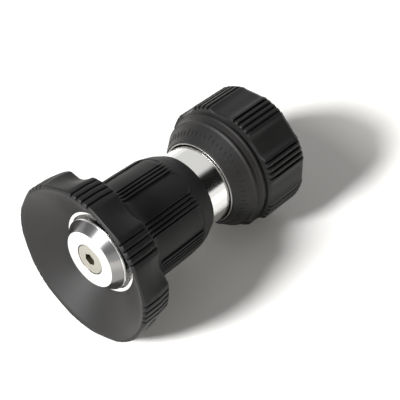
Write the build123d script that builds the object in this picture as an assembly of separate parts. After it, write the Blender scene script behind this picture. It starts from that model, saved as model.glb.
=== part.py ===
"""Twist nozzle for a 3/4 in hose: rubber bell grip on a turning sleeve, fixed deflector, swivel hose nut.

Local frame used by every function: +Z is the flow direction, from the hose face (0) to the bell's rim.
The last step turns it into the row's frame: flow runs along -Y, +Z is up, millimetres.
"""
import math
import os

from build123d import *

# overall lengths along the flow, from the hose face
LENGTH = 114.0
GROOVES_PER_LOBE = 4
LOBES = 8
LOBE_PITCH = 360.0 / LOBES

# bell grip: rubber moulding with the flared bell in front and the hand grip behind
BELL_R = 38.2
BELL_TOP_REAR = 99.8
BELL_REAR_R = 36.2
BELL_REAR = 98.4
BELL_TAPER = 1.0
BELL_EDGE_DROP = 1.35
BELL_EDGE_RISE = 0.4
RIM_INNER_R = 35.5
RIM_INNER_Z = 113.3
RIM_TOP_R = 36.9
RIM_OUTER_Z = 112.4
CUP_INNER_R = 19.5
CUP_INNER_Z = 102.3
FILLET_TOP_R = 28.4
FILLET_TOP_Z = 94.6
FILLET_MID_R = 25.5
FILLET_MID_Z = 92.2
GRIP_R = 24.3
GRIP_FRONT = 88.5
GRIP_MIDDLE = 75.0
GRIP_MIDDLE_R = 24.45
GRIP_REAR = 64.0
SHOULDER_R = 22.6
SHOULDER_Z = 57.6
GRIP_END_R = 20.1
GRIP_END = 52.0
GRIP_LIP_BORE_R = 19.6
GRIP_LIP_DEPTH = 2.8
WIPER_SEAT_R = 20.6

# flutes of the bell grip
BELL_LOBE_CENTRE = 0.0
BELL_GROOVE_STEP = 4.7
BELL_GROOVE_WIDTH = 0.9
BELL_GROOVE_DEPTH = 0.95
BELL_GROOVE_END = 61.8
BELL_GROOVE_FRONT = 113.2
FLUTE_HALF_WIDTH = 7.4
FLUTE_FRONT_DEPTH = 0.45
FLUTE_REAR_DEPTH = 2.5
PANEL_WIDTH = 12.6
PANEL_DEPTH = 0.45
PANEL_REAR = 61.4
PANEL_FRONT = 93.2
PANEL_CORNER = 3.6
PANEL_RUN_UP = 2.0
PANEL_END_DEPTH = 0.63

# sleeve insert: aluminium tube inside the grip
INSERT_R = 21.9
INSERT_REAR_R = 21.2
INSERT_STEP_Z = 58.0
INSERT_REAR = 56.6
INSERT_FRONT = 98.0
INSERT_BORE_R = 19.4
SLEEVE_GROOVE_Z = 59.4
SLEEVE_GROOVE_WIDTH = 2.2
SLEEVE_GROOVE_R = 21.0

# four-start thread between the barrel and the sleeve, right-handed
THREAD_STARTS = 4
THREAD_LEAD = 12.0
MALE_ROOT_R = 18.0
MALE_CREST_R = 19.0
FEMALE_CREST_R = 18.3
THREAD_BASE = 1.4
THREAD_CREST = 0.9
THREAD_EMBED = 0.4
MALE_THREAD_START = 68.5
MALE_THREAD_LENGTH = 18.0
FEMALE_THREAD_START = 75.0
FEMALE_THREAD_LENGTH = 11.0

# throat ring: the metal seat that the water leaves through
THROAT_R = 20.4
THROAT_FRONT = 102.2
THROAT_SPIGOT_R = 19.35
THROAT_REAR = 93.9
THROAT_LIP_R = 18.3
THROAT_BORE_R = 12.5
THROAT_BORE_Z = 95.25
SEAT_OUTER_Z = 100.4
THROAT_SEAL_Z = 96.0
THROAT_SEAL_WIDTH = 2.0
THROAT_SEAL_GROOVE_R = 17.8

# barrel: fixed aluminium body
NECK_R = 19.2
NECK_END = 66.0
NECK_CHAMFER = 1.0
BARREL_FRONT = 88.6
BARREL_REAR = 13.45
TAIL_R = 12.0
TAIL_BORE_R = 9.0
TAIL_BORE_END = 22.0
WATERWAY_R = 15.2
WATERWAY_START = 36.0
CARRIER_SEAT_R = 16.3
CARRIER_SEAT_Z = 84.0
SNAP_GROOVE_R = 17.0
SNAP_GROOVE_Z = 86.8
SNAP_GROOVE_WIDTH = 1.2
FLANGE_R = 21.9
FLANGE_REAR = 16.4
FLANGE_FRONT = 20.4
FLANGE_SEAL_Z = 18.4
FLANGE_SEAL_WIDTH = 2.0
FLANGE_SEAL_GROOVE_R = 20.3

# stem carrier: four-armed spider in the barrel's front
CARRIER_RING_INNER_R = 14.3
CARRIER_RING_WIDTH = 2.7
CARRIER_ARMS = 4
CARRIER_ARM_WIDTH = 2.4
CARRIER_HUB_R = 5.4
CARRIER_HUB_REAR = 81.5
CARRIER_HUB_FRONT = 88.0
STEM_THREAD_R = 3.0

# stem, its nut and the deflector
STEM_R = 4.6
STEM_END = 100.0
STEM_TAIL = 77.0
STEM_TAPPED_DEPTH = 8.0
STEM_NUT_FLATS = 10.0
STEM_NUT_THICKNESS = 3.2
DEFLECTOR_FACE_R = 13.5
DEFLECTOR_FACE_Z = 108.3
DEFLECTOR_RIM_R = 17.15
DEFLECTOR_RIM_FRONT = 104.35
DEFLECTOR_RIM_REAR = 103.6
DEFLECTOR_TAIL_R = 7.5
DEFLECTOR_TAIL_Z = 95.0
DEFLECTOR_SEAL_R = 14.6
DEFLECTOR_GROOVE_WIDTH = 2.2
DEFLECTOR_GROOVE_DEPTH = 1.5
SCREW_HOLE_R = 3.1
SCREW_R = 3.0
SCREW_HEAD_R = 7.0
SCREW_SEAT_R = 7.2
SCREW_SINK = 0.15
SCREW_CONE_DEPTH = 4.0
SCREW_END = 93.0
HEX_FLATS = 5.0
HEX_DEPTH = 2.6

# swivel hose nut with its rubber grip
NUT_REAR = 0.0
NUT_BOSS_R = 15.5
NUT_BACK = 1.2
NUT_R = 26.4
NUT_STEP_Z = 24.0
NUT_FRONT_R = 24.0
NUT_FRONT = 31.0
NUT_BORE_R = 22.3
NUT_WEB_REAR = 13.6
NUT_WEB_FRONT = 15.2
NUT_WEB_HOLE_R = 12.4
NUT_THREAD_R = 12.9
NUT_THREAD_END = 10.6
NUT_MOUTH_CHAMFER = 0.4
HOSE_PITCH = 2.209
HOSE_GROOVE_DEPTH = 0.72
HOSE_GROOVE_WIDTH = 1.05
HOSE_GROOVE_ROOT = 0.22
HOSE_THREAD_TURNS = 4.2
WASHER_RECESS_R = 13.6
RETAINER_GROOVE_R = 23.3
RETAINER_REAR = 21.9
RETAINER_FRONT = 23.1

# rubber grip of the hose nut
COLLAR_REAR = 0.0
COLLAR_EDGE_R = 30.3
COLLAR_EDGE_Z = 1.3
COLLAR_EDGE_MIDDLE_R = 31.1
COLLAR_EDGE_MIDDLE_Z = 0.4
COLLAR_R = 31.45
COLLAR_LOBE_FRONT = 24.4
COLLAR_LOBE_CHAMFER = 0.5
RIDGE_R = 28.46
RIDGE_FRONT = 26.8
RIDGE_REAR = 25.9
DROP_R = 27.6
DROP_FRONT = 25.5
DROP_REAR = 24.7
BAND_R = 26.9
BAND_REAR = 29.4
INNER_RIDGE_R = 27.0
INNER_RIDGE_Z = 30.6
NOSE_R = 20.6
NOSE_Z = 40.2
NOSE_BORE_R = 20.2
COLLAR_LOBE_CENTRE = 28.8
COLLAR_GROOVE_STEP = 5.1
COLLAR_GROOVE_WIDTH = 1.3
COLLAR_GROOVE_DEPTH = 1.4
COLLAR_GROOVE_FRONT = 24.0
COLLAR_FLUTE_HALF_WIDTH = 5.6
COLLAR_FLUTE_FRONT_DEPTH = 1.9
COLLAR_FLUTE_REAR_DEPTH = 1.0
NOSE_RING_INNER_R = 19.65
NOSE_RING_REAR = 36.0
NOSE_RING_FRONT = 40.6
NOSE_LIP_R = 20.5
NOSE_LIP = 0.4

# rings, washers and seals, as (inner radius, outer radius, start, end) or (centre radius, start, section)
THRUST_WASHER = (12.6, 22.0, 15.3, 16.3)
FRONT_WASHER = (19.6, 22.1, 20.5, 21.7)
HOSE_WASHER = (8.7, 13.4, 10.7, 13.4)
WIPER = (19.3, 20.55, 54.9, 56.5)
SLEEVE_SEAL = (20.06, 59.4, 0.78)
THROAT_SEAL = (18.58, 96.0, 0.76)
SWIVEL_SEAL = (21.24, 18.4, 0.86)
DEFLECTOR_SEAL_SECTION = 0.85
DEFLECTOR_SEAL_PROUD = 0.25
SNAP_GAP = 40.0
CARRIER_SNAP = (14.8, 16.95, 86.85, 87.95)
RETAINER = (20.4, 23.2, 21.9, 23.1)
SNAP_EAR_R = 1.1

CUT = 4.0
TO_ROW = Rotation(90, 0, 0)


def turned(*corners):
    """Solid of revolution about the flow axis from (radius, height) corners."""
    outline = Polyline([(r, 0, z) for r, z in corners], close=True)
    return revolve(make_face(outline), Axis.Z)


def turned_from(edges):
    """Solid of revolution about the flow axis from a closed chain of edges in the XZ plane."""
    return revolve(make_face(edges), Axis.Z)


def point(r, z):
    """A profile point in the XZ plane."""
    return (r, 0, z)


def ring(inner, outer, start, end):
    """Plain ring with a rectangular section."""
    return turned((inner, start), (outer, start), (outer, end), (inner, end))


def o_ring(centre, height, section):
    """Round-section seal."""
    return Pos(0, 0, height) * Torus(centre, section)


def snap_ring(inner, outer, start, end):
    """Internal retaining ring: open ring with a drilled ear on each side of the gap."""
    body = ring(inner, outer, start, end)
    middle = (inner + outer) / 2
    thickness = end - start
    gap_width = 2 * middle * math.sin(math.radians(SNAP_GAP / 2))
    gap = Pos(outer, 0, (start + end) / 2) * Box(2 * (outer - inner) + CUT, gap_width, thickness + CUT)
    body = body - gap
    for side in (-1, 1):
        angle = side * (SNAP_GAP / 2 + math.degrees(SNAP_EAR_R / middle) / 2)
        ear = Rot(0, 0, angle) * Pos(middle - SNAP_EAR_R / 2, 0, start) * Cylinder(
            SNAP_EAR_R, thickness, align=(Align.CENTER, Align.CENTER, Align.MIN)
        )
        hole = Rot(0, 0, angle) * Pos(middle - SNAP_EAR_R / 2, 0, start) * Cylinder(
            SNAP_EAR_R / 2, thickness, align=(Align.CENTER, Align.CENTER, Align.MIN)
        )
        body = body + ear - hole
    return body


def helical_ridge(base_r, crest_r, base_width, crest_width, lead, length, start):
    """One thread ridge: a trapezoid swept along a right-handed helix that starts on +X."""
    path = Helix(pitch=lead, height=length, radius=base_r)
    section = make_face(
        Polyline(
            [
                (base_r, 0, -base_width / 2),
                (base_r, 0, base_width / 2),
                (crest_r, 0, crest_width / 2),
                (crest_r, 0, -crest_width / 2),
            ],
            close=True,
        )
    )
    return Pos(0, 0, start) * sweep(section, path=path, is_frenet=True)


def groove_angles(lobe_centre, step):
    """Angles of every groove, four on each lobe."""
    angles = []
    for lobe in range(LOBES):
        for groove in range(GROOVES_PER_LOBE):
            offset = (groove - (GROOVES_PER_LOBE - 1) / 2) * step
            angles.append(lobe_centre + lobe * LOBE_PITCH + offset)
    return angles


def radial_plates(angles, width, reach, start, end):
    """Thin plates that stand on the flow axis, one for each angle, from the axis outwards."""
    plates = []
    for angle in angles:
        plate = Pos(reach / 2, 0, (start + end) / 2) * Box(reach, width, end - start)
        plates.append(Rot(0, 0, angle) * plate)
    return plates


def flute(half_width, front_depth, rear_depth, radius, rear, front):
    """Scoop for one valley: its floor is an arc that gets deeper towards the rear."""
    sections = []
    for height, depth in ((rear, rear_depth), (front, front_depth)):
        edge = math.sqrt(radius**2 - half_width**2)
        floor = radius - depth
        arc = ThreePointArc((edge, -half_width, height), (floor, 0, height), (edge, half_width, height))
        rest = Polyline(
            (edge, half_width, height),
            (radius + CUT, half_width, height),
            (radius + CUT, -half_width, height),
            (edge, -half_width, height),
        )
        sections.append(make_face([arc, rest]))
    return loft(sections, ruled=True)


def bell_outline(lower):
    """Outer profile of the bell grip lowered by a depth, from the rim back to the rear end."""
    rim = ThreePointArc(
        point(RIM_INNER_R, RIM_INNER_Z),
        point(RIM_TOP_R, LENGTH),
        point(BELL_R - lower, RIM_OUTER_Z),
    )
    side = Line(point(BELL_R - lower, RIM_OUTER_Z), point(BELL_R - BELL_TAPER - lower, BELL_TOP_REAR))
    edge = ThreePointArc(
        point(BELL_R - BELL_TAPER - lower, BELL_TOP_REAR),
        point(BELL_R - BELL_EDGE_DROP - lower, BELL_REAR + BELL_EDGE_RISE),
        point(BELL_REAR_R - lower, BELL_REAR),
    )
    back = Spline(
        point(BELL_REAR_R - lower, BELL_REAR),
        point(FILLET_TOP_R - lower, FILLET_TOP_Z),
        point(FILLET_MID_R - lower, FILLET_MID_Z),
        point(GRIP_R - lower, GRIP_FRONT),
        tangents=[(-1, 0, -0.25), (0, 0, -1)],
    )
    grip = ThreePointArc(
        point(GRIP_R - lower, GRIP_FRONT),
        point(GRIP_MIDDLE_R - lower, GRIP_MIDDLE),
        point(GRIP_R - lower, GRIP_REAR),
    )
    return [rim, side, edge, back, grip]


def bell_grip():
    """Rubber moulding: flared bell, fluted flange and hand grip in one piece."""
    shoulder = Spline(
        point(GRIP_R, GRIP_REAR),
        point(SHOULDER_R, SHOULDER_Z),
        point(GRIP_END_R, GRIP_END),
        tangents=[(0, 0, -1), (-0.8, 0, -1)],
    )
    inside = Polyline(
        point(GRIP_END_R, GRIP_END),
        point(GRIP_LIP_BORE_R, GRIP_END),
        point(GRIP_LIP_BORE_R, GRIP_END + GRIP_LIP_DEPTH),
        point(WIPER_SEAT_R, GRIP_END + GRIP_LIP_DEPTH),
        point(WIPER_SEAT_R, INSERT_REAR),
        point(INSERT_REAR_R, INSERT_REAR),
        point(INSERT_REAR_R, INSERT_STEP_Z),
        point(INSERT_R, INSERT_STEP_Z),
        point(INSERT_R, INSERT_FRONT),
        point(THROAT_R, INSERT_FRONT),
        point(THROAT_R, THROAT_FRONT),
        point(CUP_INNER_R, CUP_INNER_Z),
        point(RIM_INNER_R, RIM_INNER_Z),
    )
    body = turned_from(bell_outline(0) + [shoulder, inside])
    scoop = flute(
        FLUTE_HALF_WIDTH, FLUTE_FRONT_DEPTH, FLUTE_REAR_DEPTH, BELL_R, BELL_REAR - CUT, LENGTH
    )
    scoops = []
    for lobe in range(LOBES):
        scoops.append(Rot(0, 0, BELL_LOBE_CENTRE + (lobe + 0.5) * LOBE_PITCH) * scoop)
    body = body - scoops
    body = body - grooves_on_bell()
    return body - panels_on_grip()


def grooves_on_bell():
    """Narrow grooves that run from the rim over the flange and along the hand grip."""
    rise = Line(
        point(GRIP_R - BELL_GROOVE_DEPTH, GRIP_REAR),
        point(GRIP_R + BELL_GROOVE_DEPTH, BELL_GROOVE_END - BELL_GROOVE_DEPTH),
    )
    closing = Polyline(
        point(GRIP_R + BELL_GROOVE_DEPTH, BELL_GROOVE_END - BELL_GROOVE_DEPTH),
        point(0, BELL_GROOVE_END - BELL_GROOVE_DEPTH),
        point(0, RIM_INNER_Z),
        point(RIM_INNER_R, RIM_INNER_Z),
    )
    core = turned_from(bell_outline(BELL_GROOVE_DEPTH) + [rise, closing])
    angles = groove_angles(BELL_LOBE_CENTRE, BELL_GROOVE_STEP)
    plates = radial_plates(
        angles, BELL_GROOVE_WIDTH, BELL_R + CUT, BELL_GROOVE_END - BELL_GROOVE_DEPTH, BELL_GROOVE_FRONT
    )
    return [plate - core for plate in plates]


def panels_on_grip():
    """Shallow smooth panels with rounded ends, one between every two groups of grooves."""
    floor = turned_from(
        [
            Line(point(GRIP_R + PANEL_DEPTH, PANEL_FRONT), point(GRIP_R - PANEL_DEPTH, GRIP_FRONT - PANEL_RUN_UP)),
            ThreePointArc(
                point(GRIP_R - PANEL_DEPTH, GRIP_FRONT - PANEL_RUN_UP),
                point(GRIP_MIDDLE_R - PANEL_DEPTH, GRIP_MIDDLE),
                point(GRIP_R - PANEL_DEPTH, GRIP_REAR),
            ),
            Line(point(GRIP_R - PANEL_DEPTH, GRIP_REAR), point(GRIP_R - PANEL_END_DEPTH, PANEL_REAR)),
            Polyline(
                point(GRIP_R - PANEL_END_DEPTH, PANEL_REAR),
                point(0, PANEL_REAR),
                point(0, PANEL_FRONT),
                point(GRIP_R + PANEL_DEPTH, PANEL_FRONT),
            ),
        ]
    )
    length = PANEL_FRONT - PANEL_REAR
    plan = Plane.YZ * Pos(0, (PANEL_FRONT + PANEL_REAR) / 2) * RectangleRounded(
        PANEL_WIDTH, length, PANEL_CORNER
    )
    blank = extrude(plan, amount=GRIP_R + CUT)
    panel = blank - floor
    panels = []
    for lobe in range(LOBES):
        panels.append(Rot(0, 0, BELL_LOBE_CENTRE + (lobe + 0.5) * LOBE_PITCH) * panel)
    return panels


def sleeve_insert():
    """Aluminium tube that the grip is moulded on, with the female four-start thread."""
    half_groove = SLEEVE_GROOVE_WIDTH / 2
    body = turned(
        (INSERT_REAR_R, INSERT_REAR),
        (INSERT_REAR_R, INSERT_STEP_Z),
        (INSERT_R, INSERT_STEP_Z),
        (INSERT_R, INSERT_FRONT),
        (INSERT_BORE_R, INSERT_FRONT),
        (INSERT_BORE_R, SLEEVE_GROOVE_Z + half_groove),
        (SLEEVE_GROOVE_R, SLEEVE_GROOVE_Z + half_groove),
        (SLEEVE_GROOVE_R, SLEEVE_GROOVE_Z - half_groove),
        (INSERT_BORE_R, SLEEVE_GROOVE_Z - half_groove),
        (INSERT_BORE_R, INSERT_REAR),
    )
    ridge = helical_ridge(
        INSERT_BORE_R + THREAD_EMBED,
        FEMALE_CREST_R,
        THREAD_BASE,
        THREAD_CREST,
        THREAD_LEAD,
        FEMALE_THREAD_LENGTH,
        FEMALE_THREAD_START,
    )
    # the female ridges sit half a pitch from the male ones, measured from the male thread's start
    turn = 360.0 * (FEMALE_THREAD_START - MALE_THREAD_START) / THREAD_LEAD
    half_step = 180.0 / THREAD_STARTS
    for start in range(THREAD_STARTS):
        body = body + Rot(0, 0, turn + half_step + start * 360.0 / THREAD_STARTS) * ridge
    return body


def throat_ring():
    """Metal seat ring with the conical bowl that the deflector closes."""
    half_groove = THROAT_SEAL_WIDTH / 2
    return turned(
        (THROAT_LIP_R, THROAT_FRONT),
        (THROAT_R, THROAT_FRONT),
        (THROAT_R, INSERT_FRONT),
        (THROAT_SPIGOT_R, INSERT_FRONT),
        (THROAT_SPIGOT_R, THROAT_SEAL_Z + half_groove),
        (THROAT_SEAL_GROOVE_R, THROAT_SEAL_Z + half_groove),
        (THROAT_SEAL_GROOVE_R, THROAT_SEAL_Z - half_groove),
        (THROAT_SPIGOT_R, THROAT_SEAL_Z - half_groove),
        (THROAT_SPIGOT_R, THROAT_REAR),
        (THROAT_BORE_R, THROAT_REAR),
        (THROAT_BORE_R, THROAT_BORE_Z),
        (THROAT_LIP_R, SEAT_OUTER_Z),
    )


def barrel():
    """Fixed body: swivel flange, polished neck, male four-start thread and waterway."""
    half_seal = FLANGE_SEAL_WIDTH / 2
    snap_front = SNAP_GROOVE_Z + SNAP_GROOVE_WIDTH
    body = turned(
        (TAIL_BORE_R, BARREL_REAR),
        (TAIL_R, BARREL_REAR),
        (TAIL_R, FLANGE_REAR),
        (FLANGE_R, FLANGE_REAR),
        (FLANGE_R, FLANGE_SEAL_Z - half_seal),
        (FLANGE_SEAL_GROOVE_R, FLANGE_SEAL_Z - half_seal),
        (FLANGE_SEAL_GROOVE_R, FLANGE_SEAL_Z + half_seal),
        (FLANGE_R, FLANGE_SEAL_Z + half_seal),
        (FLANGE_R, FLANGE_FRONT),
        (NECK_R, FLANGE_FRONT),
        (NECK_R, NECK_END),
        (MALE_ROOT_R, NECK_END + NECK_CHAMFER),
        (MALE_ROOT_R, BARREL_FRONT),
        (CARRIER_SEAT_R, BARREL_FRONT),
        (CARRIER_SEAT_R, snap_front),
        (SNAP_GROOVE_R, snap_front),
        (SNAP_GROOVE_R, SNAP_GROOVE_Z),
        (CARRIER_SEAT_R, SNAP_GROOVE_Z),
        (CARRIER_SEAT_R, CARRIER_SEAT_Z),
        (WATERWAY_R, CARRIER_SEAT_Z),
        (WATERWAY_R, WATERWAY_START),
        (TAIL_BORE_R, TAIL_BORE_END),
    )
    ridge = helical_ridge(
        MALE_ROOT_R - THREAD_EMBED,
        MALE_CREST_R,
        THREAD_BASE,
        THREAD_CREST,
        THREAD_LEAD,
        MALE_THREAD_LENGTH,
        MALE_THREAD_START,
    )
    for start in range(THREAD_STARTS):
        body = body + Rot(0, 0, start * 360.0 / THREAD_STARTS) * ridge
    return body


def stem_carrier():
    """Spider with four arms that holds the stem on the axis and lets the water pass."""
    ring_front = CARRIER_SEAT_Z + CARRIER_RING_WIDTH
    body = ring(CARRIER_RING_INNER_R, CARRIER_SEAT_R, CARRIER_SEAT_Z, ring_front)
    body = body + ring(STEM_THREAD_R, CARRIER_HUB_R, CARRIER_HUB_REAR, CARRIER_HUB_FRONT)
    inner = (STEM_THREAD_R + CARRIER_HUB_R) / 2
    outer = (CARRIER_RING_INNER_R + CARRIER_SEAT_R) / 2
    arm = Pos((inner + outer) / 2, 0, CARRIER_SEAT_Z + CARRIER_RING_WIDTH / 2) * Box(
        outer - inner, CARRIER_ARM_WIDTH, CARRIER_RING_WIDTH
    )
    for index in range(CARRIER_ARMS):
        body = body + Rot(0, 0, 45 + index * 360.0 / CARRIER_ARMS) * arm
    return body


def deflector_stem():
    """Stem between the spider and the deflector, tapped for the deflector's screw."""
    body = turned(
        (0, STEM_TAIL),
        (STEM_THREAD_R, STEM_TAIL),
        (STEM_THREAD_R, CARRIER_HUB_FRONT),
        (STEM_R, CARRIER_HUB_FRONT),
        (STEM_R, STEM_END),
        (SCREW_R, STEM_END),
        (SCREW_R, STEM_END - STEM_TAPPED_DEPTH),
        (0, STEM_END - STEM_TAPPED_DEPTH),
    )
    return body


def stem_nut():
    """Hexagon nut that draws the stem's shoulder against the spider."""
    prism = extrude(RegularPolygon(STEM_NUT_FLATS / 2, 6, major_radius=False), amount=STEM_NUT_THICKNESS)
    bore = Cylinder(STEM_THREAD_R, 2 * STEM_NUT_THICKNESS)
    nut = prism - bore
    return Pos(0, 0, CARRIER_HUB_REAR - STEM_NUT_THICKNESS) * nut


def cone_frame():
    """Unit vectors of the deflector's rear cone in the (radius, height) plane: along it and out of it."""
    run = DEFLECTOR_TAIL_R - DEFLECTOR_RIM_R
    drop = DEFLECTOR_TAIL_Z - DEFLECTOR_RIM_REAR
    length = math.hypot(run, drop)
    along = (run / length, drop / length)
    return along, (-along[1], along[0])


def seal_point(out):
    """A point above (positive) or below the rear cone where the shut-off seal sits."""
    along, normal = cone_frame()
    share = (DEFLECTOR_RIM_R - DEFLECTOR_SEAL_R) / (DEFLECTOR_RIM_R - DEFLECTOR_TAIL_R)
    height = DEFLECTOR_RIM_REAR - share * (DEFLECTOR_RIM_REAR - DEFLECTOR_TAIL_Z)
    return DEFLECTOR_SEAL_R + normal[0] * out, height + normal[1] * out


def deflector_head():
    """Deflector disc: flat face, polished front cone, rear cone with the seal's groove."""
    cone_floor = DEFLECTOR_FACE_Z - SCREW_SINK - SCREW_CONE_DEPTH
    body = turned(
        (SCREW_SEAT_R, DEFLECTOR_FACE_Z),
        (DEFLECTOR_FACE_R, DEFLECTOR_FACE_Z),
        (DEFLECTOR_RIM_R, DEFLECTOR_RIM_FRONT),
        (DEFLECTOR_RIM_R, DEFLECTOR_RIM_REAR),
        (DEFLECTOR_TAIL_R, DEFLECTOR_TAIL_Z),
        (STEM_R, DEFLECTOR_TAIL_Z),
        (STEM_R, STEM_END),
        (SCREW_HOLE_R, STEM_END),
        (SCREW_HOLE_R, cone_floor),
        (SCREW_SEAT_R, DEFLECTOR_FACE_Z - SCREW_SINK),
    )
    along, normal = cone_frame()
    half = DEFLECTOR_GROOVE_WIDTH / 2
    corners = []
    for side, out in ((-half, 1), (half, 1), (half, -DEFLECTOR_GROOVE_DEPTH), (-half, -DEFLECTOR_GROOVE_DEPTH)):
        r, z = seal_point(out)
        corners.append((r + along[0] * side, z + along[1] * side))
    return body - turned(*corners)


def deflector_seal():
    """Shut-off seal in the deflector's rear groove."""
    r, z = seal_point(DEFLECTOR_SEAL_PROUD - DEFLECTOR_SEAL_SECTION)
    return o_ring(r, z, DEFLECTOR_SEAL_SECTION)


def deflector_screw():
    """Countersunk screw with a hexagon socket that holds the deflector on the stem."""
    top = DEFLECTOR_FACE_Z - SCREW_SINK
    body = turned(
        (0, top),
        (SCREW_HEAD_R, top),
        (SCREW_R, top - SCREW_CONE_DEPTH),
        (SCREW_R, SCREW_END),
        (0, SCREW_END),
    )
    socket = extrude(RegularPolygon(HEX_FLATS / 2, 6, major_radius=False), amount=HEX_DEPTH + CUT)
    return body - Pos(0, 0, top - HEX_DEPTH) * socket


def coupling_nut():
    """Metal hose nut: hose thread behind, swivel chamber in front."""
    body = turned(
        (NUT_THREAD_R + NUT_MOUTH_CHAMFER, NUT_REAR),
        (NUT_BOSS_R, NUT_REAR),
        (NUT_BOSS_R, NUT_BACK),
        (NUT_R, NUT_BACK),
        (NUT_R, NUT_STEP_Z),
        (NUT_FRONT_R, NUT_STEP_Z),
        (NUT_FRONT_R, NUT_FRONT),
        (NUT_BORE_R, NUT_FRONT),
        (NUT_BORE_R, RETAINER_FRONT),
        (RETAINER_GROOVE_R, RETAINER_FRONT),
        (RETAINER_GROOVE_R, RETAINER_REAR),
        (NUT_BORE_R, RETAINER_REAR),
        (NUT_BORE_R, NUT_WEB_FRONT),
        (NUT_WEB_HOLE_R, NUT_WEB_FRONT),
        (NUT_WEB_HOLE_R, NUT_WEB_REAR),
        (WASHER_RECESS_R, NUT_WEB_REAR),
        (WASHER_RECESS_R, NUT_THREAD_END),
        (NUT_THREAD_R, NUT_THREAD_END),
        (NUT_THREAD_R, NUT_REAR + NUT_MOUTH_CHAMFER),
    )
    length = HOSE_THREAD_TURNS * HOSE_PITCH
    groove = helical_ridge(
        NUT_THREAD_R - THREAD_EMBED,
        NUT_THREAD_R + HOSE_GROOVE_DEPTH,
        HOSE_GROOVE_WIDTH + 2 * THREAD_EMBED * math.tan(math.radians(30)),
        HOSE_GROOVE_ROOT,
        HOSE_PITCH,
        length,
        NUT_REAR + NUT_MOUTH_CHAMFER,
    )
    return body - groove


def collar_outline(lower):
    """Outer profile of the nut's grip over its lobes, lowered by a depth, from the rear to the lobes' front."""
    edge = ThreePointArc(
        point(COLLAR_EDGE_R - lower, COLLAR_REAR),
        point(COLLAR_EDGE_MIDDLE_R - lower, COLLAR_EDGE_MIDDLE_Z),
        point(COLLAR_R - lower, COLLAR_EDGE_Z),
    )
    side = Line(
        point(COLLAR_R - lower, COLLAR_EDGE_Z),
        point(COLLAR_R - lower, COLLAR_LOBE_FRONT - COLLAR_LOBE_CHAMFER),
    )
    return [edge, side]


def coupling_grip():
    """Rubber grip of the hose nut: fluted body behind, two ridges and a nose cone in front."""
    front = Polyline(
        point(COLLAR_R, COLLAR_LOBE_FRONT - COLLAR_LOBE_CHAMFER),
        point(COLLAR_R - COLLAR_LOBE_CHAMFER, COLLAR_LOBE_FRONT),
        point(DROP_R, DROP_REAR),
        point(DROP_R, DROP_FRONT),
        point(RIDGE_R, RIDGE_REAR),
        point(RIDGE_R, RIDGE_FRONT),
        point(BAND_R, BAND_REAR),
        point(INNER_RIDGE_R, INNER_RIDGE_Z),
        point(NOSE_R, NOSE_Z),
        point(NOSE_BORE_R, NOSE_Z),
        point(NOSE_BORE_R, NUT_FRONT),
        point(NUT_FRONT_R, NUT_FRONT),
        point(NUT_FRONT_R, NUT_STEP_Z),
        point(NUT_R, NUT_STEP_Z),
        point(NUT_R, NUT_BACK),
        point(NUT_BOSS_R, NUT_BACK),
        point(NUT_BOSS_R, COLLAR_REAR),
        point(COLLAR_EDGE_R, COLLAR_REAR),
    )
    body = turned_from(collar_outline(0) + [front])
    valley = flute(
        COLLAR_FLUTE_HALF_WIDTH,
        COLLAR_FLUTE_FRONT_DEPTH,
        COLLAR_FLUTE_REAR_DEPTH,
        COLLAR_R,
        COLLAR_REAR - CUT,
        COLLAR_LOBE_FRONT + COLLAR_LOBE_CHAMFER,
    )
    valleys = []
    for lobe in range(LOBES):
        valleys.append(Rot(0, 0, COLLAR_LOBE_CENTRE + (lobe + 0.5) * LOBE_PITCH) * valley)
    body = body - valleys
    core = Cylinder(COLLAR_R - COLLAR_GROOVE_DEPTH, 2 * LENGTH)
    angles = groove_angles(COLLAR_LOBE_CENTRE, COLLAR_GROOVE_STEP)
    plates = radial_plates(angles, COLLAR_GROOVE_WIDTH, COLLAR_R + CUT, COLLAR_REAR - CUT, COLLAR_GROOVE_FRONT)
    return body - [plate - core for plate in plates]


def coupling_nose_ring():
    """Bright metal ring that lines the mouth of the nut's grip round the neck."""
    lip = NOSE_RING_FRONT - NOSE_LIP
    return turned(
        (NOSE_RING_INNER_R, NOSE_RING_REAR),
        (NOSE_BORE_R, NOSE_RING_REAR),
        (NOSE_BORE_R, lip),
        (NOSE_LIP_R, lip),
        (NOSE_LIP_R, NOSE_RING_FRONT - NOSE_LIP / 2),
        (NOSE_LIP_R - NOSE_LIP / 2, NOSE_RING_FRONT),
        (NOSE_RING_INNER_R, NOSE_RING_FRONT),
    )


NODES = {
    "barrel": barrel,
    "stem_carrier": stem_carrier,
    "deflector_stem": deflector_stem,
    "stem_nut": stem_nut,
    "deflector_head": deflector_head,
    "deflector_screw": deflector_screw,
    "deflector_o_ring": deflector_seal,
    "carrier_snap_ring": lambda: snap_ring(*CARRIER_SNAP),
    "swivel_o_ring": lambda: o_ring(*SWIVEL_SEAL),
    "sleeve_o_ring": lambda: o_ring(*SLEEVE_SEAL),
    "bell_grip": bell_grip,
    "sleeve_insert": sleeve_insert,
    "throat_ring": throat_ring,
    "throat_o_ring": lambda: o_ring(*THROAT_SEAL),
    "sleeve_wiper": lambda: ring(*WIPER),
    "coupling_nut": coupling_nut,
    "coupling_grip": coupling_grip,
    "coupling_nose_ring": coupling_nose_ring,
    "swivel_thrust_washer": lambda: ring(*THRUST_WASHER),
    "swivel_front_washer": lambda: ring(*FRONT_WASHER),
    "swivel_retaining_ring": lambda: snap_ring(*RETAINER),
    "hose_washer": lambda: ring(*HOSE_WASHER),
}

os.makedirs("parts", exist_ok=True)
for node, make in NODES.items():
    shape = TO_ROW * make()
    solids = shape.solids()
    print(node, len(solids), round(sum(s.volume for s in solids), 1), shape.bounding_box())
    export_step(Compound(children=list(solids)) if len(solids) > 1 else solids[0], f"parts/{node}.step")
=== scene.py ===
import math

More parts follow.
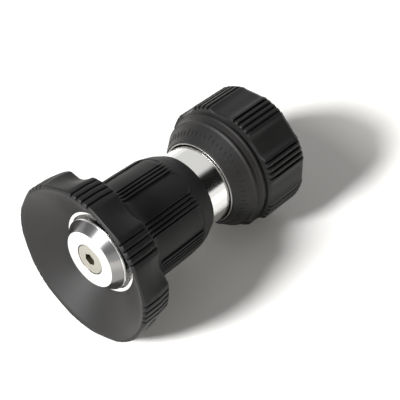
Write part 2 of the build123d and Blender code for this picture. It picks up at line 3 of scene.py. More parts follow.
import bmesh
import bpy
import numpy as np
from mathutils import Matrix, Vector


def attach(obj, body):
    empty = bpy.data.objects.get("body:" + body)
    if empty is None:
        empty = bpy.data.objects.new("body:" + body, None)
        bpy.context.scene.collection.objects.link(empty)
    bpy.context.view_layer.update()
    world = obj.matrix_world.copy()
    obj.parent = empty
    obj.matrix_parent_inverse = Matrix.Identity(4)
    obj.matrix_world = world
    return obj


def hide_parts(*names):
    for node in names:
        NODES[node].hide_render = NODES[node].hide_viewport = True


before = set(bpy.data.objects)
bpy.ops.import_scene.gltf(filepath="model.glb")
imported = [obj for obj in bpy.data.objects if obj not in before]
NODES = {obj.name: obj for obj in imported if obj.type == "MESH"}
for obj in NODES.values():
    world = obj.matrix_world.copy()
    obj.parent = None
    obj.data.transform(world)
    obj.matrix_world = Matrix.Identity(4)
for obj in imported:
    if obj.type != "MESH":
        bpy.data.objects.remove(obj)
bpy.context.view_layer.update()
MM = 0.001
LOBES = 8


# ---------------------------------------------------------------- mesh tools

def fillet_corner(before, corner, after, radius, steps):
    """Points of the arc that rounds one corner of a profile."""
    a = Vector(before) - Vector(corner)
    b = Vector(after) - Vector(corner)
    reach = min(a.length, b.length) * 0.49
    a.normalize()
    b.normalize()
    half = math.acos(max(-1.0, min(1.0, a.dot(b)))) / 2
    if radius <= 0 or half > math.radians(89.5):
        return [Vector(corner)] * (steps + 1)
    tangent = min(radius / math.tan(half), reach)
    radius = tangent * math.tan(half)
    middle = Vector(corner) + (a + b).normalized() * (radius / math.sin(half))
    start = Vector(corner) + a * tangent - middle
    end = Vector(corner) + b * tangent - middle
    turn = start.angle_signed(end)
    points = []
    for i in range(steps + 1):
        t = -turn * i / steps
        rotated = Vector((start.x * math.cos(t) - start.y * math.sin(t),
                          start.x * math.sin(t) + start.y * math.cos(t)))
        points.append(middle + rotated)
    return points


def profile(corners, arc_steps=6):
    """Rounded profile from (radius, height, fillet radius, steps in the run to the next corner)."""
    arcs = []
    count = len(corners)
    for i, corner in enumerate(corners):
        if 0 < i < count - 1:
            before, after = corners[i - 1], corners[i + 1]
            arcs.append(fillet_corner(before[:2], corner[:2], after[:2], corner[2], arc_steps))
        else:
            arcs.append([Vector(corner[:2])])
    points = []
    for i, arc in enumerate(arcs):
        points.extend(arc)
        if i < count - 1:
            steps = corners[i][3]
            start, end = arc[-1], arcs[i + 1][0]
            for k in range(1, steps):
                points.append(start.lerp(end, k / steps))
    return np.array([[p.x, p.y] for p in points])


def normals_of(curve):
    """Outward unit normals of an (n, 2) profile that runs with the solid on its right-hand side."""
    tangent = np.gradient(curve, axis=0)
    length = np.maximum(np.linalg.norm(tangent, axis=1, keepdims=True), 1e-9)
    tangent = tangent / length
    return np.stack([-tangent[:, 1], tangent[:, 0]], axis=1)


def to_row(radius, height, angle):
    """Row-frame points in metres from radius, distance in front of the hose face and angle."""
    x = radius * np.cos(angle)
    y = -height
    z = radius * np.sin(angle)
    return np.stack([x, y + 0 * x, z], axis=-1) * MM


def grid_object(name, points, body, sharp):
    """Quad mesh over a (rows, columns, 3) grid whose columns close round the axis."""
    rows, columns = points.shape[:2]
    mesh = bpy.data.meshes.new(name)
    index = np.arange(rows * columns).reshape(rows, columns)
    right = (np.arange(columns) + 1) % columns
    a = index[:-1]
    b = index[1:]
    c = index[1:][:, right]
    d = index[:-1][:, right]
    faces = np.stack([a, d, c, b], axis=-1).reshape(-1, 4)
    mesh.from_pydata(points.reshape(-1, 3).tolist(), [], faces.tolist())
    return finish_mesh(name, mesh, body, sharp)


def finish_mesh(name, mesh, body, sharp):
    """Cleans a mesh, shades it smooth with sharp creases, and puts it on a CAD body."""
    work = bmesh.new()
    work.from_mesh(mesh)
    bmesh.ops.remove_doubles(work, verts=work.verts, dist=1e-7)
    bmesh.ops.recalc_face_normals(work, faces=work.faces)
    work.to_mesh(mesh)
    work.free()
    mesh.shade_smooth()
    mesh.set_sharp_from_angle(angle=math.radians(sharp))
    piece = bpy.data.objects.new(name, mesh)
    bpy.context.scene.collection.objects.link(piece)
    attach(piece, body)
    return piece


def lathe(name, corners, body, columns=192, sharp=40.0):
    """Turned piece from a rounded profile that closes on itself."""
    curve = profile(corners, arc_steps=5)
    angle = np.linspace(0, 2 * math.pi, columns, endpoint=False)
    radius = np.repeat(curve[:, :1], columns, axis=1)
    height = np.repeat(curve[:, 1:], columns, axis=1)
    points = to_row(radius, height, angle[None, :])
    points = np.concatenate([points, points[:1]], axis=0)
    return grid_object(name, points, body, sharp)


def smooth(x, low, high):
    """Eases from 0 at low to 1 at high."""
    t = np.clip((x - low) / (high - low), 0, 1)
    return t * t * (3 - 2 * t)


# ---------------------------------------------------------------- fluted grips

GROOVES = 4
LOBE_PITCH = 360.0 / LOBES
BELL_LOBE_CENTRE = 0.0
BELL_GROOVE_STEP = 4.7
BELL_GROOVE_WIDTH = 0.85
BELL_GROOVE_DEPTH = 0.95
PANEL_HALF_WIDTH = 6.35
PANEL_HALF_LENGTH = 15.2
PANEL_REAR = 61.4
PANEL_CORNER = 3.6
PANEL_DEPTH = 0.45
PANEL_FADE_START = 88.0
PANEL_FADE_END = 93.0
NUT_LOBE_CENTRE = 28.8
NUT_GROOVE_STEP = 5.1
NUT_GROOVE_WIDTH = 1.3
NUT_GROOVE_FLOOR_R = 30.05
NOSE_FRONT_R = 21.0
NOSE_FRONT = 39.9
NOSE_REAR_R = 26.35
NOSE_REAR = 31.95
TICKS = 60
LONG_TICK_EVERY = 5
TICK_START = 34.9
LONG_TICK_START = 34.0
TICK_END = 37.1
TICK_WIDTH = 0.55
TICK_HEIGHT = 0.22
SCREW_TOP = 108.15
SCREW_COLUMNS = 96
HEX_FLATS = 5.0


def flute_columns(step, groove, flank_shares):
    """Columns of one lobe: (angle from the lobe's centre, sideways offset in mm, share of groove depth)."""
    centres = [(k - (GROOVES - 1) / 2) * step for k in range(GROOVES)]
    outer = centres[-1]
    flank = [outer + (LOBE_PITCH / 2 - outer) * share for share in flank_shares]
    columns = []
    for angle in reversed(flank[:-1]):
        columns.append((-angle, 0.0, 0.0))
    for k, centre in enumerate(centres):
        for offset, depth in groove:
            columns.append((centre, offset, depth))
        if k < GROOVES - 1:
            columns.append((centre + step / 2, 0.0, 0.0))
    for angle in flank:
        columns.append((angle, 0.0, 0.0))
    return columns


def groove_section(width, round_mm):
    """Cross-section of a groove as (offset in mm, depth share)."""
    half = width / 2
    return [(-half - round_mm, 0.0), (-half - 0.02, 0.10), (-half + 0.06, 0.62), (-half + 0.18, 0.96),
            (0.0, 1.0),
            (half - 0.18, 0.96), (half - 0.06, 0.62), (half + 0.02, 0.10), (half + round_mm, 0.0)]


def all_columns(columns, lobe_centre):
    """The columns of one lobe repeated round the axis: angle, offset, groove share, angle in the lobe."""
    base, offset, share = (np.array(v) for v in zip(*columns))
    angles = np.concatenate([lobe_centre + LOBE_PITCH * k + base for k in range(LOBES)])
    return np.radians(angles), np.tile(offset, LOBES), np.tile(share, LOBES), np.tile(base, LOBES)


def valley_weight(from_valley, half_width, power, softness, fade_end, fade_start):
    """0 on a lobe and 1 in the middle of the flute between two lobes; angles in degrees."""
    scoop = 1 - (from_valley / half_width) ** power
    weight = 0.5 * (scoop + np.sqrt(scoop ** 2 + softness))
    weight = np.clip(weight / (0.5 * (1 + math.sqrt(1 + softness))), 0, 1)
    return weight * smooth(-from_valley, -fade_end, -fade_start)


def between(crest, valley, weight):
    """Radius and distance in front, in mm, of every row and column of a fluted surface."""
    curve = crest[:, None, :] * (1 - weight[None, :, None]) + valley[:, None, :] * weight[None, :, None]
    return curve[..., 0], curve[..., 1]


def bell_grip():
    """Rubber bell and hand grip: lobes with four grooves each, and sunk panels between them."""
    rear = [
        (24.45, 77.0, 60, 34), (24.15, 63.4, 6, 10), (22.55, 57.2, 7, 10), (20.15, 52.05, 0.5, 2),
        (19.65, 52.05, 0.2, 3), (19.65, 54.7, 0, 1)]
    cup = [(19.55, 101.2, 0, 3), (19.55, 102.35, 0.35, 26), (35.3, 113.25, 0.9, 3)]
    crest = profile(cup + [
        (36.75, 114.0, 0.9, 3), (38.2, 113.2, 0.9, 12), (38.2, 105.2, 20, 8), (37.3, 98.9, 1.4, 10),
        (24.45, 92.3, 6.5, 8)] + rear, 8)
    valley = profile(cup + [
        (36.55, 113.95, 0.9, 3), (37.75, 113.1, 0.9, 12), (36.55, 106.2, 20, 8), (34.6, 99.8, 1.8, 10),
        (24.45, 92.6, 6.5, 8)] + rear, 8)
    flank_shares = [0.09, 0.12, 0.15, 0.18, 0.22, 0.25, 0.28, 0.32, 0.38, 0.46, 0.56, 0.67, 0.78, 0.89, 1.0]
    columns = flute_columns(BELL_GROOVE_STEP, groove_section(BELL_GROOVE_WIDTH, 0.14), flank_shares)
    angle, offset, share, base = all_columns(columns, BELL_LOBE_CENTRE)
    from_valley = LOBE_PITCH / 2 - np.abs(base)
    r, s = between(crest, valley, valley_weight(from_valley, 11.4, 2, 0.012, 14.0, 12.0))
    normal = normals_of(crest)[:, None, :]
    # grooves: from the rim's front to their run-outs on the grip
    along = np.arange(len(crest))
    outside = along > np.argmax(crest[:, 0] > 36.4)
    ramp_front = smooth(crest[:, 0], 36.6, 37.9) + (along > np.argmax(crest[:, 0] > 38.0))
    ramp_front = np.clip(ramp_front, 0, 1) * outside
    ramp_rear = smooth(crest[:, 1], 61.6, 64.2)
    depth = BELL_GROOVE_DEPTH * (ramp_front * ramp_rear)[:, None] * share[None, :]
    # panels between the grooves, sunk into the grip with rounded corners
    across = np.radians(from_valley)[None, :] * r
    centre = PANEL_REAR + PANEL_HALF_LENGTH
    past_side = np.abs(across) - (PANEL_HALF_WIDTH - PANEL_CORNER)
    past_end = np.abs(s - centre) - (PANEL_HALF_LENGTH - PANEL_CORNER)
    outside_corner = np.hypot(np.maximum(past_side, 0), np.maximum(past_end, 0))
    inside_corner = np.minimum(np.maximum(past_side, past_end), 0)
    distance = outside_corner + inside_corner - PANEL_CORNER
    distance = np.where(s > centre, np.abs(across) - PANEL_HALF_WIDTH, distance)
    fade = smooth(-s, -PANEL_FADE_END, -PANEL_FADE_START)
    panel = PANEL_DEPTH * smooth(-distance, -0.05, 0.6) * outside[:, None] * fade
    r = r - (depth + panel) * normal[..., 0]
    s = s - (depth + panel) * normal[..., 1]
    theta = angle[None, :] + offset[None, :] / np.maximum(r, 1)
    return grid_object("bell_grip_moulding", to_row(r, s, theta), "sleeve", sharp=50)


def coupling_grip():
    """Rubber grip of the hose nut: nose cone, two ridges, and lobes with four deep grooves each."""
    front = [
        (20.5, 37.5, 0, 2), (20.5, 39.9, 0.2, 2), (21.0, 39.9, 0.35, 24), (26.35, 31.95, 0.4, 3),
        (27.25, 31.3, 0.45, 2), (27.35, 30.5, 0.45, 2), (26.8, 29.9, 0.4, 8), (27.95, 27.6, 0.6, 3),
        (28.5, 27.0, 0.5, 2), (28.5, 26.2, 0.5, 3), (27.5, 25.7, 0.3, 2)]
    crest = profile(front + [
        (27.5, 24.9, 0.3, 3), (30.8, 24.4, 0.6, 4), (31.4, 23.2, 0.9, 26), (31.45, 2.0, 1.6, 4),
        (30.6, 0.3, 0.6, 3), (29.6, 0.0, 0.4, 1), (28.6, 0.0, 0, 11), (15.6, 0.0, 0.2, 2),
        (15.6, 1.0, 0, 1)], 6)
    valley = profile(front + [
        (27.5, 24.9, 0.3, 3), (29.1, 24.4, 0.5, 4), (29.55, 23.2, 0.9, 26), (30.4, 2.0, 1.4, 4),
        (29.7, 0.3, 0.6, 3), (28.7, 0.0, 0.4, 1), (27.8, 0.0, 0, 11), (15.6, 0.0, 0.2, 2),
        (15.6, 1.0, 0, 1)], 6)
    flank_shares = [0.10, 0.13, 0.17, 0.21, 0.26, 0.31, 0.37, 0.44, 0.54, 0.66, 0.78, 0.89, 1.0]
    columns = flute_columns(NUT_GROOVE_STEP, groove_section(NUT_GROOVE_WIDTH, 0.16), flank_shares)
    angle, offset, share, base = all_columns(columns, NUT_LOBE_CENTRE)
    from_valley = LOBE_PITCH / 2 - np.abs(base)
    r, s = between(crest, valley, valley_weight(from_valley, 11.6, 4, 0.03, 13.6, 11.8))
    fluted = (crest[:, 1] < 24.95) & (crest[:, 0] > 25)
    r = r - np.maximum(r - NUT_GROOVE_FLOOR_R, 0) * share[None, :] * fluted[:, None]
    theta = angle[None, :] + offset[None, :] / np.maximum(r, 1)
    return grid_object("coupling_grip_moulding", to_row(r, s, theta), "swivel", sharp=50)


def bar_on_cone(bm, angle, start, end, width, height):
    """Small raised bar with bevelled edges on the nose cone, along its slope."""
    def place(r, s, side, lift):
        slope = math.atan2(NOSE_REAR_R - NOSE_FRONT_R, NOSE_FRONT - NOSE_REAR)
        out_r = r + lift * math.cos(slope)
        out_s = s + lift * math.sin(slope)
        turn = angle + side / r
        return Vector((out_r * math.cos(turn), -out_s, out_r * math.sin(turn))) * MM

    def on_cone(s):
        return NOSE_FRONT_R + (NOSE_FRONT - s) / (NOSE_FRONT - NOSE_REAR) * (NOSE_REAR_R - NOSE_FRONT_R)

    root = (-0.15, 0.0)
    shoulder = (height - 0.1, 0.04)
    top = (height, 0.17)
    loops = []
    for lift, shrink in (root, shoulder, top):
        half = width / 2 - shrink
        low, high = start + shrink, end - shrink
        corners = ((low, -half), (high, -half), (high, half), (low, half))
        loops.append([bm.verts.new(place(on_cone(s), s, side, lift)) for s, side in corners])
    for lower, upper in zip(loops, loops[1:]):
        for k in range(4):
            bm.faces.new((lower[k], lower[(k + 1) % 4], upper[(k + 1) % 4], upper[k]))
    bm.faces.new(loops[-1])
    bm.faces.new(list(reversed(loops[0])))


def nose_ticks():
    """Plain ring of raised tick marks round the nose cone, every fifth one long."""
    work = bmesh.new()
    for k in range(TICKS):
        start = LONG_TICK_START if k % LONG_TICK_EVERY == 0 else TICK_START
        bar_on_cone(work, 2 * math.pi * k / TICKS, start, TICK_END, TICK_WIDTH, TICK_HEIGHT)
    mesh = bpy.data.meshes.new("nose_tick_ring")
    work.to_mesh(mesh)
    work.free()
    return finish_mesh("nose_tick_ring", mesh, "swivel", 40)


def hexagon(flats, angle):
    """Radius of a hexagon at an angle."""
    sector = np.mod(angle + math.pi / 6, math.pi / 3) - math.pi / 6
    return flats / 2 / np.cos(sector)


def screw():
    """Countersunk head with a hexagon socket and a plain shank below."""
    angle = np.linspace(0, 2 * math.pi, SCREW_COLUMNS, endpoint=False)
    top = SCREW_TOP
    rings = []

    def ring_at(radius, height):
        rings.append((radius + np.zeros(SCREW_COLUMNS), height))

    hexed = hexagon(HEX_FLATS, angle)
    for radius, height in ((0.01, 93.05), (2.95, 93.05), (2.95, 104.2), (6.75, 107.75), (6.92, 107.95)):
        ring_at(radius, height)
    for k in range(5):
        turn = math.radians(90 * k / 4)
        ring_at(6.74 + 0.18 * math.cos(turn), 107.97 + 0.18 * math.sin(turn))
    ring_at(6.1, top)
    ring_at(5.9, top - 0.07)
    ring_at(5.65, top - 0.07)
    ring_at(5.45, top)
    for share in (0.0, 0.4, 0.8):
        ring_at(4.6 + (hexed + 0.2 - 4.6) * share, top)
    ring_at(hexed + 0.14, top)
    ring_at(hexed + 0.05, top - 0.05)
    ring_at(hexed, top - 0.24)
    ring_at(hexed, top - 1.3)
    ring_at(hexed, top - 2.45)
    ring_at(hexed - 0.15, top - 2.6)
    ring_at(hexed * 0.5, top - 2.9)
    ring_at(0.01, top - 3.3)
    points = np.stack([to_row(r, h, angle) for r, h in rings])
    return grid_object("socket_screw", points, "barrel", sharp=40)


# ---------------------------------------------------------------- materials

def material(name, colour, rough, metal=0.0):
    made = bpy.data.materials.new(name)
    made.use_nodes = True
    shader = made.node_tree.nodes["Principled BSDF"]
    shader.inputs["Base Color"].default_value = (*colour, 1)
    shader.inputs["Roughness"].default_value = rough
    shader.inputs["Metallic"].default_value = metal
    return made, made.node_tree, shader


def node(tree, kind, **settings):
    made = tree.nodes.new(kind)
    for key, value in settings.items():
        setattr(made, key, value)
    return made


def noise(tree, scale, detail=4.0, rough=0.5, vector=None):
    made = node(tree, "ShaderNodeTexNoise")
    made.inputs["Scale"].default_value = scale
    made.inputs["Detail"].default_value = detail
    made.inputs["Roughness"].default_value = rough
    if vector is not None:
        tree.links.new(vector, made.inputs["Vector"])
    return made


def span(tree, source, low, high, out_low, out_high):
    made = node(tree, "ShaderNodeMapRange")
    made.inputs["From Min"].default_value = low
    made.inputs["From Max"].default_value = high
    made.inputs["To Min"].default_value = out_low
    made.inputs["To Max"].default_value = out_high
    tree.links.new(source, made.inputs["Value"])
    return made.outputs["Result"]


def coords(tree):
    return node(tree, "ShaderNodeTexCoord").outputs["Object"]


def bump(tree, shader, height, strength, distance):
    made = node(tree, "ShaderNodeBump")
    made.inputs["Strength"].default_value = strength
    made.inputs["Distance"].default_value = distance
    tree.links.new(height, made.inputs["Height"])
    tree.links.new(made.outputs["Normal"], shader.inputs["Normal"])


def mixed_colour(tree, shader, factor, one, other):
    made = node(tree, "ShaderNodeMix", data_type="RGBA")
    made.inputs["A"].default_value = (*one, 1)
    made.inputs["B"].default_value = (*other, 1)
    tree.links.new(factor, made.inputs["Factor"])
    tree.links.new(made.outputs["Result"], shader.inputs["Base Color"])


def seen_rays(tree):
    """1 for camera, glossy and transmission rays, 0 for the rays that light things."""
    path = node(tree, "ShaderNodeLightPath")
    total = path.outputs["Is Camera Ray"]
    for kind in ("Is Glossy Ray", "Is Transmission Ray"):
        most = node(tree, "ShaderNodeMath", operation="MAXIMUM")
        tree.links.new(total, most.inputs[0])
        tree.links.new(path.outputs[kind], most.inputs[1])
        total = most.outputs[0]
    return total


def rubber(name, colour, other, rough, grain, depth, gloss=0.5):
    """Moulded rubber or plastic: fine grain, with broad soft changes of colour and gloss."""
    made, tree, shader = material(name, colour, rough)
    shader.inputs["Specular IOR Level"].default_value = gloss
    where = coords(tree)
    fine = noise(tree, grain, 3, 0.6, where)
    broad = noise(tree, 45, 3, 0.5, where)
    mixed_colour(tree, shader, span(tree, broad.outputs["Fac"], 0.35, 0.65, 0, 1), colour, other)
    uneven = span(tree, broad.outputs["Fac"], 0.3, 0.7, rough - 0.05, rough + 0.06)
    tree.links.new(uneven, shader.inputs["Roughness"])
    bump(tree, shader, fine.outputs["Fac"], 0.35, depth)
    return made


def turned_metal(name, colour, rough, radial=False, stretch=9000.0, strength=0.12):
    """Metal with fine turning lines: rings along the axis, or circles on a face."""
    made, tree, shader = material(name, colour, rough, 1.0)
    split = node(tree, "ShaderNodeSeparateXYZ")
    tree.links.new(coords(tree), split.inputs[0])
    radius = node(tree, "ShaderNodeCombineXYZ")
    tree.links.new(split.outputs["X"], radius.inputs["X"])
    tree.links.new(split.outputs["Z"], radius.inputs["Z"])
    length = node(tree, "ShaderNodeVectorMath", operation="LENGTH")
    tree.links.new(radius.outputs[0], length.inputs[0])
    line = node(tree, "ShaderNodeCombineXYZ")
    tree.links.new(length.outputs["Value"] if radial else split.outputs["Y"], line.inputs["X"])
    rings = noise(tree, stretch, 2, 0.7, line.outputs[0])
    bump(tree, shader, rings.outputs["Fac"], strength, 0.00004)
    broad = noise(tree, 60, 2, 0.5, coords(tree))
    uneven = span(tree, broad.outputs["Fac"], 0.3, 0.7, rough - 0.03, rough + 0.04)
    tree.links.new(uneven, shader.inputs["Roughness"])
    mixed_colour(tree, shader, rings.outputs["Fac"], colour, tuple(0.9 * c for c in colour))
    return made


def paint(piece, made):
    piece.data.materials.clear()
    piece.data.materials.append(made)


def paint_where(piece, made, test):
    """Gives the faces whose centre (radius and distance in front, in mm) passes the test another material."""
    piece.data.materials.append(made)
    number = len(piece.data.materials) - 1
    for face in piece.data.polygons:
        x, y, z = face.center
        if test(math.hypot(x, z) / MM, -y / MM):
            face.material_index = number


CUP_RUBBER = rubber("bell_cup_look", (0.0080, 0.0074, 0.0073), (0.0112, 0.0103, 0.0101),
                    rough=0.43, grain=2600, depth=0.00004, gloss=0.37)
BELL_RUBBER = rubber("bell_rubber_look", (0.0052, 0.0050, 0.0051), (0.0076, 0.0072, 0.0073),
                     rough=0.52, grain=2600, depth=0.00006, gloss=0.27)
COLLAR_RUBBER = rubber("collar_rubber_look", (0.0080, 0.0078, 0.0077), (0.0108, 0.0104, 0.0100),
                       rough=0.48, grain=3200, depth=0.00009, gloss=0.28)
NOSE_RUBBER = rubber("nose_rubber_look", (0.0120, 0.0114, 0.0113), (0.0165, 0.0155, 0.0150),
                     rough=0.48, grain=3000, depth=0.00012, gloss=0.22)
SEAL_RUBBER = rubber("seal_rubber_look", (0.012, 0.012, 0.012), (0.016, 0.016, 0.016), 0.4, 3000, 0.00003)
NECK_METAL = turned_metal("neck_look", (0.84, 0.835, 0.81), 0.13, strength=0.05)
POLISHED = turned_metal("throat_look", (0.9, 0.895, 0.88), 0.16)
FACE_METAL = turned_metal("deflector_look", (0.9, 0.9, 0.89), 0.22, radial=True)
# painted shade: the deflector cone's dark base colour stands in for the dark surroundings it reflects
CONE_METAL_PAINTED_SHADE = turned_metal("deflector_cone_painted_shade_look", (0.25, 0.247, 0.247), 0.2, strength=0.1)
SCREW_METAL = turned_metal("screw_look", (0.46, 0.445, 0.39), 0.42, radial=True, stretch=4000)
# painted shade: a darker copy of the screw metal for the hex socket and the countersink seat, recesses where
# shade falls
SOCKET_PAINTED_SHADE = turned_metal("screw_socket_painted_shade_look", (0.15, 0.14, 0.1), 0.5)
RING_METAL = turned_metal("nose_ring_look", (0.4, 0.395, 0.385), 0.35)
STEEL = turned_metal("spring_steel_look", (0.3, 0.3, 0.31), 0.35)
CAST = turned_metal("cast_look", (0.62, 0.62, 0.61), 0.4)
BRASS = turned_metal("brass_look", (0.7, 0.52, 0.24), 0.28)
PLASTIC = rubber("slide_plastic_look", (0.75, 0.73, 0.66), (0.7, 0.68, 0.62), 0.45, 2500, 0.00002)

LOOKS = {
    "barrel": NECK_METAL, "stem_carrier": CAST, "carrier_snap_ring": STEEL, "deflector_stem": BRASS,
    "stem_nut": BRASS, "deflector_head": FACE_METAL, "deflector_screw": SCREW_METAL,
    "deflector_o_ring": SEAL_RUBBER, "swivel_o_ring": SEAL_RUBBER, "sleeve_o_ring": SEAL_RUBBER,
    "bell_grip": BELL_RUBBER, "sleeve_insert": CAST, "throat_ring": POLISHED, "throat_o_ring": SEAL_RUBBER,
    "sleeve_wiper": PLASTIC, "coupling_nut": CAST, "coupling_grip": COLLAR_RUBBER,
    "coupling_nose_ring": POLISHED, "swivel_thrust_washer": PLASTIC, "swivel_front_washer": PLASTIC,
    "swivel_retaining_ring": STEEL, "hose_washer": SEAL_RUBBER,
}
for cad_name, look in LOOKS.items():
    paint(NODES[cad_name], look)


bell = bell_grip()
paint(bell, BELL_RUBBER)
paint_where(bell, CUP_RUBBER, lambda r, s: s > 101.0 and r < 36.4 and s > 102.0 + (r - 19.5) * 0.6)
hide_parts("bell_grip")

collar = coupling_grip()
paint(collar, COLLAR_RUBBER)
paint_where(collar, NOSE_RUBBER, lambda r, s: s > 25.6)
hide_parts("coupling_grip")
ticks = nose_ticks()
paint(ticks, NOSE_RUBBER)

head = lathe("deflector_disc", [
    (7.3, 106.9, 0, 1), (7.3, 108.3, 0.15, 3), (13.45, 108.3, 0.22, 4), (16.95, 104.48, 0.12, 1),
    (17.14, 104.3, 0.12, 1), (17.14, 103.75, 0.15, 2), (16.9, 103.6, 0.1, 2), (14.0, 101.0, 0.1, 2),
    (14.0, 100.9, 0.1, 2), (7.5, 95.05, 0.4, 2), (4.7, 95.05, 0.1, 2), (4.7, 99.95, 0.05, 2),
    (3.2, 99.95, 0.05, 2), (3.2, 103.9, 0.1, 4)], "barrel", columns=160)
paint(head, FACE_METAL)
# the cone of the disc gets the darker metal, painted shade in its reflections
paint_where(head, CONE_METAL_PAINTED_SHADE, lambda r, s: r > 13.42 and r < 16.96)
# painted shade on the countersink seat round the screw head
paint_where(head, SOCKET_PAINTED_SHADE, lambda r, s: r < 7.28 and s > 103)
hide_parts("deflector_head")

bolt = screw()
paint(bolt, SCREW_METAL)
# painted shade inside the hex socket
paint_where(bolt, SOCKET_PAINTED_SHADE, lambda r, s: r < 2.95 and s > 104.3 and s < 108.12)
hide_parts("deflector_screw")

bead = lathe("nose_ring_bead", [
    (19.7, 36.05, 0, 4), (19.7, 39.9, 0.2, 2), (20.0, 40.25, 0.15, 2), (20.3, 40.25, 0.15, 2),
    (20.45, 40.0, 0.1, 2), (20.45, 39.3, 0.1, 2), (20.15, 39.3, 0.05, 2),
    (20.15, 36.05, 0.05, 2)], "swivel")
paint(bead, RING_METAL)
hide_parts("coupling_nose_ring")

seat = lathe("throat_seat", [
    (17.45, 101.6, 0.25, 3), (18.2, 102.05, 0.3, 2), (20.15, 102.2, 0.2, 2), (20.35, 102.0, 0.15, 3),
    (20.35, 98.05, 0.05, 2), (19.3, 98.05, 0.05, 2), (19.3, 97.0, 0.05, 2), (17.8, 97.0, 0.05, 2),
    (17.8, 95.0, 0.05, 2), (19.3, 95.0, 0.05, 2), (19.3, 93.95, 0.05, 2), (12.55, 93.95, 0.05, 2),
    (12.55, 95.25, 0.1, 2), (14.2, 96.5, 0.1, 1), (14.2, 96.95, 0.1, 1), (15.3, 97.45, 0.1, 1),
    (15.3, 97.9, 0.1, 1), (16.4, 98.4, 0.1, 1), (16.4, 98.9, 0.1, 1),
    (17.35, 99.7, 0.1, 2)], "sleeve", columns=160)
paint(seat, POLISHED)
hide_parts("throat_ring")

# ---------------------------------------------------------------- floor, camera, light

FLOOR_SIZE = 6.0
UNDER_MIDDLE = (0, -0.055, -0.031)
FLOOR_NEAR = 0.11
FLOOR_FAR = 0.20
# painted light: the floor's glow for seen rays, weak near the nozzle and strong far from it, fades its cast
# shadow out
FLOOR_PAINTED_LIGHT_NEAR = 0.1
FLOOR_PAINTED_LIGHT_FAR = 0.75
# the nozzle lies on its bell and its hose nut, so the floor is tilted a little in this frame
up = Vector((0, -0.0624, 0.99805)).normalized()
floor_mesh = bpy.data.meshes.new("floor")
across = Vector((1, 0, 0))
forward = up.cross(across)
foot = Vector((0, 0, -0.0312))
corners = [foot + (across * a + forward * b) * FLOOR_SIZE for a, b in ((-1, -1), (1, -1), (1, 1), (-1, 1))]
floor_mesh.from_pydata(corners, [], [(0, 1, 2, 3)])
floor = bpy.data.objects.new("floor", floor_mesh)
bpy.context.scene.collection.objects.link(floor)
floor_look, tree, shader = material("floor_look", (0.93, 0.925, 0.91), 0.9)
shader.inputs["Specular IOR Level"].default_value = 0.0
paint(floor, floor_look)
# painted light: a warm glow added to the floor, which also tints its shadow warm
painted_floor_glow = node(tree, "ShaderNodeEmission")
painted_floor_glow.inputs["Color"].default_value = (1, 0.965, 0.9, 1)


# distance from under the middle of the nozzle, in metres; the floor's glow for seen rays grows with it,
# painted light that fades the cast shadow away from the nozzle
from_middle = node(tree, "ShaderNodeVectorMath", operation="DISTANCE")
tree.links.new(coords(tree), from_middle.inputs[0])
from_middle.inputs[1].default_value = UNDER_MIDDLE
lift = node(tree, "ShaderNodeMath", operation="MULTIPLY")
painted_light_share = span(tree, from_middle.outputs["Value"], FLOOR_NEAR, FLOOR_FAR, FLOOR_PAINTED_LIGHT_NEAR, FLOOR_PAINTED_LIGHT_FAR)
tree.links.new(painted_light_share, lift.inputs[0])
tree.links.new(seen_rays(tree), lift.inputs[1])
tree.links.new(lift.outputs[0], painted_floor_glow.inputs["Strength"])
both = node(tree, "ShaderNodeAddShader")
tree.links.new(shader.outputs[0], both.inputs[0])
tree.links.new(painted_floor_glow.outputs[0], both.inputs[1])
tree.links.new(both.outputs[0], tree.nodes["Material Output"].inputs["Surface"])

# plain white backdrop all the way round, low enough to leave the tent and the room above it
BACKDROP_R = 5.0
BACKDROP_TOP = 1.25
BACKDROP_FOOT = -0.6
BACKDROP_SIDES = 96
ring = [2 * math.pi * k / BACKDROP_SIDES for k in range(BACKDROP_SIDES)]
wall = [Vector((BACKDROP_R * math.cos(a), BACKDROP_R * math.sin(a), z))
        for z in (BACKDROP_FOOT, BACKDROP_TOP) for a in ring]
quads = [(k, (k + 1) % BACKDROP_SIDES, BACKDROP_SIDES + (k + 1) % BACKDROP_SIDES, BACKDROP_SIDES + k)
         for k in range(BACKDROP_SIDES)]
backdrop_mesh = bpy.data.meshes.new("backdrop")
backdrop_mesh.from_pydata(wall, [], quads)
backdrop = bpy.data.objects.new("backdrop", backdrop_mesh)
bpy.context.scene.collection.objects.link(backdrop)
backdrop_look, tree, shader = material("backdrop_look", (0.2, 0.2, 0.2), 0.9)
shader.inputs["Specular IOR Level"].default_value = 0.0
shader.inputs["Emission Color"].default_value = (1, 1, 1, 1)
tree.links.new(seen_rays(tree), shader.inputs["Emission Strength"])
paint(backdrop, backdrop_look)

CAMERA_PLACE = Vector((211.25, -303.65, 310.83)) * MM
camera_data = bpy.data.cameras.new("camera")
camera = bpy.data.objects.new("camera", camera_data)
bpy.context.scene.collection.objects.link(camera)
camera_data.lens = 90
camera_data.sensor_width = 36
right = Vector((0.7407, 0.6686, 0.0662)).normalized()
back = Vector((0.4506, -0.5674, 0.6892)).normalized()
top = back.cross(right).normalized()
right = top.cross(back)
turned = Matrix((right, top, back)).transposed().to_4x4()
camera.matrix_world = Matrix.Translation(CAMERA_PLACE) @ turned
camera_data.clip_start = 0.01
camera_data.clip_end = 50
bpy.context.scene.camera = camera


def area_light(name, toward, distance, size, power, target=(0, -0.055, 0)):
    """Round soft lamp that looks at the target from a direction and a distance."""
    data = bpy.data.lights.new(name, "AREA")
    data.shape = "DISK"
    data.size = size
    data.energy = power
    lamp = bpy.data.objects.new(name, data)
    bpy.context.scene.collection.objects.link(lamp)
    away = Vector(toward).normalized()
    lamp.location = Vector(target) + away * distance
    lamp.rotation_mode = "QUATERNION"
    lamp.rotation_quaternion = (-away).to_track_quat("-Z", "Y")


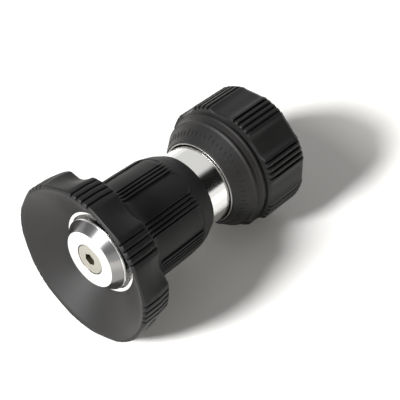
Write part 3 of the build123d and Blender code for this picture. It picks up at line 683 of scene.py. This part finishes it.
area_light("key", (-0.14, -0.95, 0.58), 1.6, 0.34, 46)

# the tent starts this many degrees above the right-hand horizon, and eases in over this many more and less
TENT_EDGE = 71
TENT_EASE = 7
TENT_LIGHT = 0.28
TENT_SEEN = 0.82
ROOM_DIM = 0.06
ROOM_SEEN = 0.012
FRONT_SEEN = 0.42

world = bpy.data.worlds.new("studio")
bpy.context.scene.world = world
world.use_nodes = True
sky = world.node_tree
shade = sky.nodes["Background"]


def sky_blend(factor, one, other):
    """One where the factor is 0, the other where it is 1; each is a number or a socket."""
    made = sky.nodes.new("ShaderNodeMix")
    made.data_type = "FLOAT"
    sky.links.new(factor, made.inputs["Factor"])
    for key, value in (("A", one), ("B", other)):
        if isinstance(value, (int, float)):
            made.inputs[key].default_value = value
        else:
            sky.links.new(value, made.inputs[key])
    return made.outputs["Result"]


# the studio: a bright tent over the left side and the top, an unlit room on the right, and grey in front;
# what lights things is dimmer than what camera, glossy and transmission rays see
heading = sky.nodes.new("ShaderNodeTexCoord")
parts = sky.nodes.new("ShaderNodeSeparateXYZ")
sky.links.new(heading.outputs["Generated"], parts.inputs[0])
turn = node(sky, "ShaderNodeMath", operation="ARCTAN2")
sky.links.new(parts.outputs["Z"], turn.inputs[0])
sky.links.new(parts.outputs["X"], turn.inputs[1])
edge_of_tent = sky.nodes.new("ShaderNodeMapRange")
edge_of_tent.interpolation_type = "SMOOTHSTEP"
edge_of_tent.inputs["From Min"].default_value = math.radians(TENT_EDGE - TENT_EASE)
edge_of_tent.inputs["From Max"].default_value = math.radians(TENT_EDGE + TENT_EASE)
sky.links.new(turn.outputs[0], edge_of_tent.inputs["Value"])
tent = edge_of_tent.outputs["Result"]
lighting = sky_blend(tent, ROOM_DIM, TENT_LIGHT)
mirrored = sky_blend(tent, ROOM_SEEN, TENT_SEEN)
forwards = sky.nodes.new("ShaderNodeMapRange")
forwards.interpolation_type = "SMOOTHSTEP"
forwards.inputs["From Min"].default_value = 0.1
forwards.inputs["From Max"].default_value = -0.45
sky.links.new(parts.outputs["Y"], forwards.inputs["Value"])
mirrored = sky_blend(forwards.outputs["Result"], mirrored, FRONT_SEEN)
seen = sky_blend(seen_rays(sky), lighting, mirrored)
sky.links.new(seen, shade.inputs["Strength"])
shade.inputs["Color"].default_value = (1, 1, 1, 1)

bpy.context.scene.view_settings.view_transform = "Standard"
